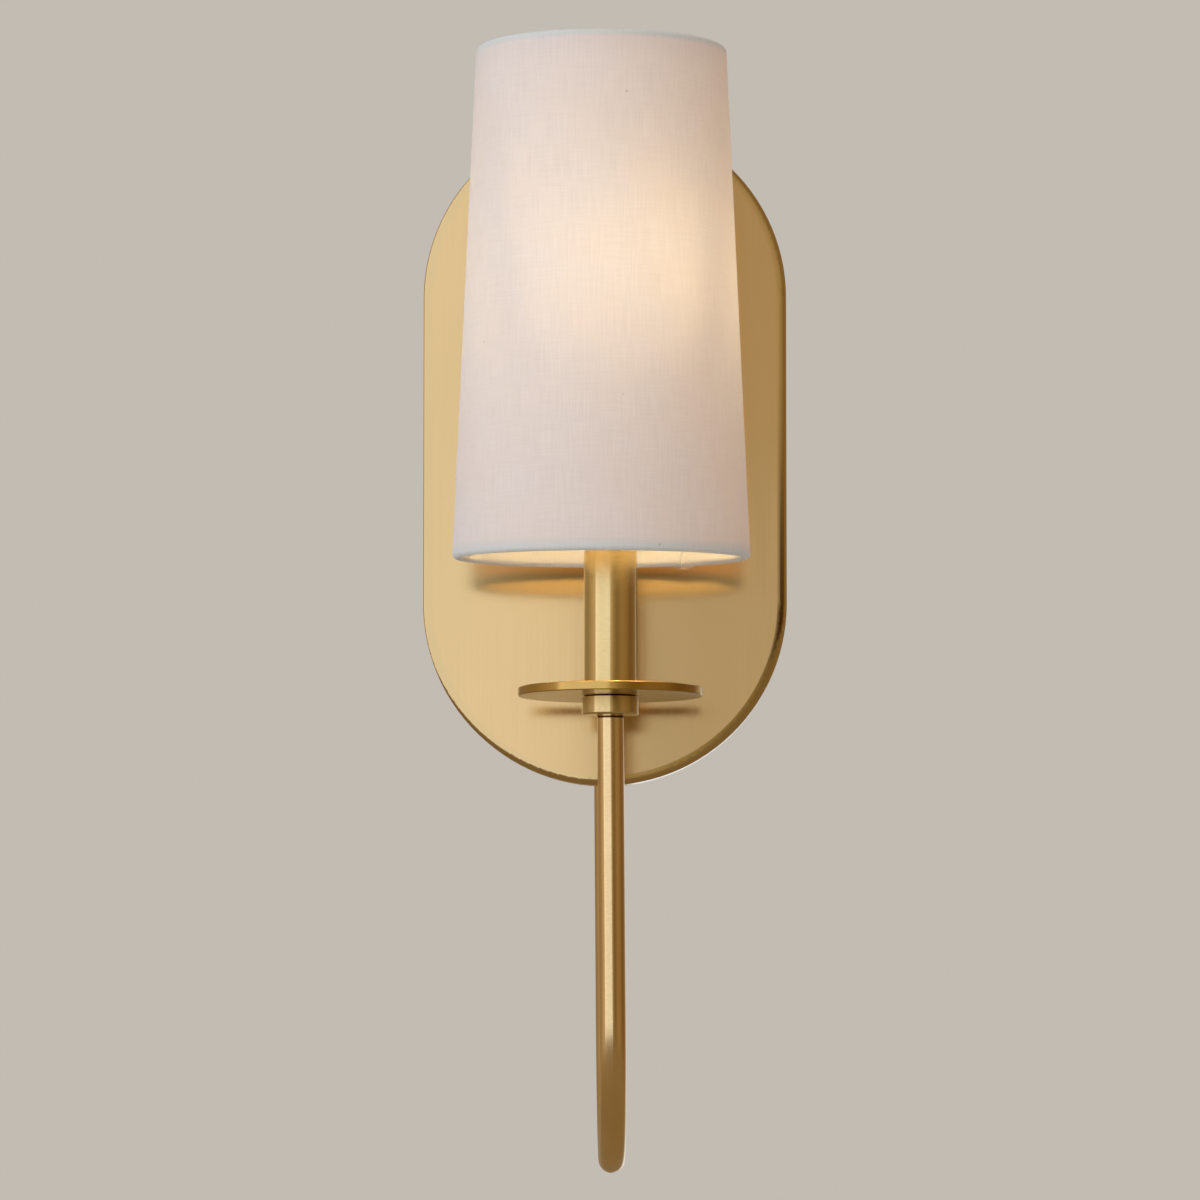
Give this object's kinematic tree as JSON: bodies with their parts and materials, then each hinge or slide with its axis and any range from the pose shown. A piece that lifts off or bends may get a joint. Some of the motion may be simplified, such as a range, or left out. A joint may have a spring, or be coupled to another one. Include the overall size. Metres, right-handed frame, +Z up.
{
  "type": "wall lamp",
  "caption": "Brass wall lamp: pill-shaped backplate, J-shaped arm, disc and candle sleeve, candelabra bulb and a tapered linen shade that clips on the bulb.",
  "frame": {"origin": "on the wall's surface, at the middle of the backplate and of the strap's two box slots", "axes": "+Z up, -Y away from the wall into the room, +X to the right for someone who faces the lamp"},
  "size_m": [0.137, 0.158, 0.4063],
  "materials": {
    "backplate_brass": "vertically brushed, satin lacquered",
    "arm_brass": "satin brushed along the tube",
    "disc_brass": "fine turned, semi-polished",
    "zinc_steel": "zinc plated sheet",
    "screw_steel": "zinc plated, turned",
    "ground_green": "green lacquered steel",
    "bare_copper": "bare copper wire",
    "black_insulation": "extruded lead insulation",
    "white_insulation": "extruded lead insulation",
    "connector_plastic": "moulded",
    "bushing_plastic": "moulded",
    "socket_phenolic": "moulded phenolic",
    "socket_brass": "spun sheet",
    "bulb_nickel": "nickel plated shell",
    "bulb_black_glass": "black glass insulator",
    "solder": "soldered contact",
    "clear_glass": "clear blown glass",
    "support_wire": "drawn wire",
    "phosphor": "phosphor coated light filament",
    "linen": "plain woven linen, laminated",
    "liner_film": "matt white film",
    "white_wire": "white powder coated wire",
    "clip_steel": "plated spring wire"
  },
  "bodies": {
    "wall_strap": {"box_strap": "zinc_steel", "swivel_rivet": "screw_steel"},
    "lamp": {"lamp_strap": "zinc_steel", "plate_screws": "screw_steel", "lock_nuts": "screw_steel", "grounding_screw": "ground_green", "backplate": "backplate_brass", "cap_nuts": "disc_brass", "arm_bracket": "zinc_steel", "arm_tube": "arm_brass", "arm_washer": "screw_steel", "arm_nut": "socket_brass", "tube_bushing": "bushing_plastic", "hot_lead": "black_insulation", "neutral_lead": "white_insulation", "grounding_lead": "bare_copper", "wire_connectors": "connector_plastic", "arm_collar": "arm_brass", "drip_disc": "disc_brass", "threaded_nipple": "screw_steel", "nipple_nut": "socket_brass", "socket_bracket": "zinc_steel", "socket_screw": "screw_steel", "socket_body": "socket_phenolic", "socket_shell": "socket_brass", "socket_contact": "socket_brass", "candle_sleeve": "arm_brass"},
    "bulb_foot": {"bulb_insulator": "bulb_black_glass", "bulb_contact": "solder"},
    "bulb": {"bulb_shell": "bulb_nickel", "bulb_glass": "clear_glass", "bulb_stem": "clear_glass", "bulb_supports": "support_wire", "bulb_filaments": "phosphor"},
    "shade": {"shade_cover": "linen", "shade_liner": "liner_film", "shade_top_ring": "white_wire", "shade_bottom_ring": "white_wire", "shade_cross_wire": "white_wire", "bulb_clip": "clip_steel"}
  },
  "joints": [
    {"name": "level_swivel", "type": "hinge", "parent": "wall_strap", "child": "lamp", "pos_m": [0, 0, 0], "axis": [0, 1, 0], "range_deg": [-15, 15]},
    {"name": "bulb_rise", "type": "slide", "parent": "lamp", "child": "bulb_foot", "axis": [-0.001, 0.0349, 0.9994], "range_m": [0, 0.01525]},
    {"name": "bulb_screw", "type": "hinge", "parent": "bulb_foot", "child": "bulb", "pos_m": [0.00316, -0.10817, 0.00785], "axis": [-0.001, 0.0349, 0.9994], "range_deg": [0, 2160]},
    {"name": "shade_lift", "type": "slide", "parent": "bulb", "child": "shade", "axis": [-0.001, 0.0349, 0.9994], "range_m": [0, 0.14]}
  ],
  "couplings": [
    {"joint": "bulb_rise", "follows": "bulb_screw", "m_per_rad": 0.00040425}
  ]
}
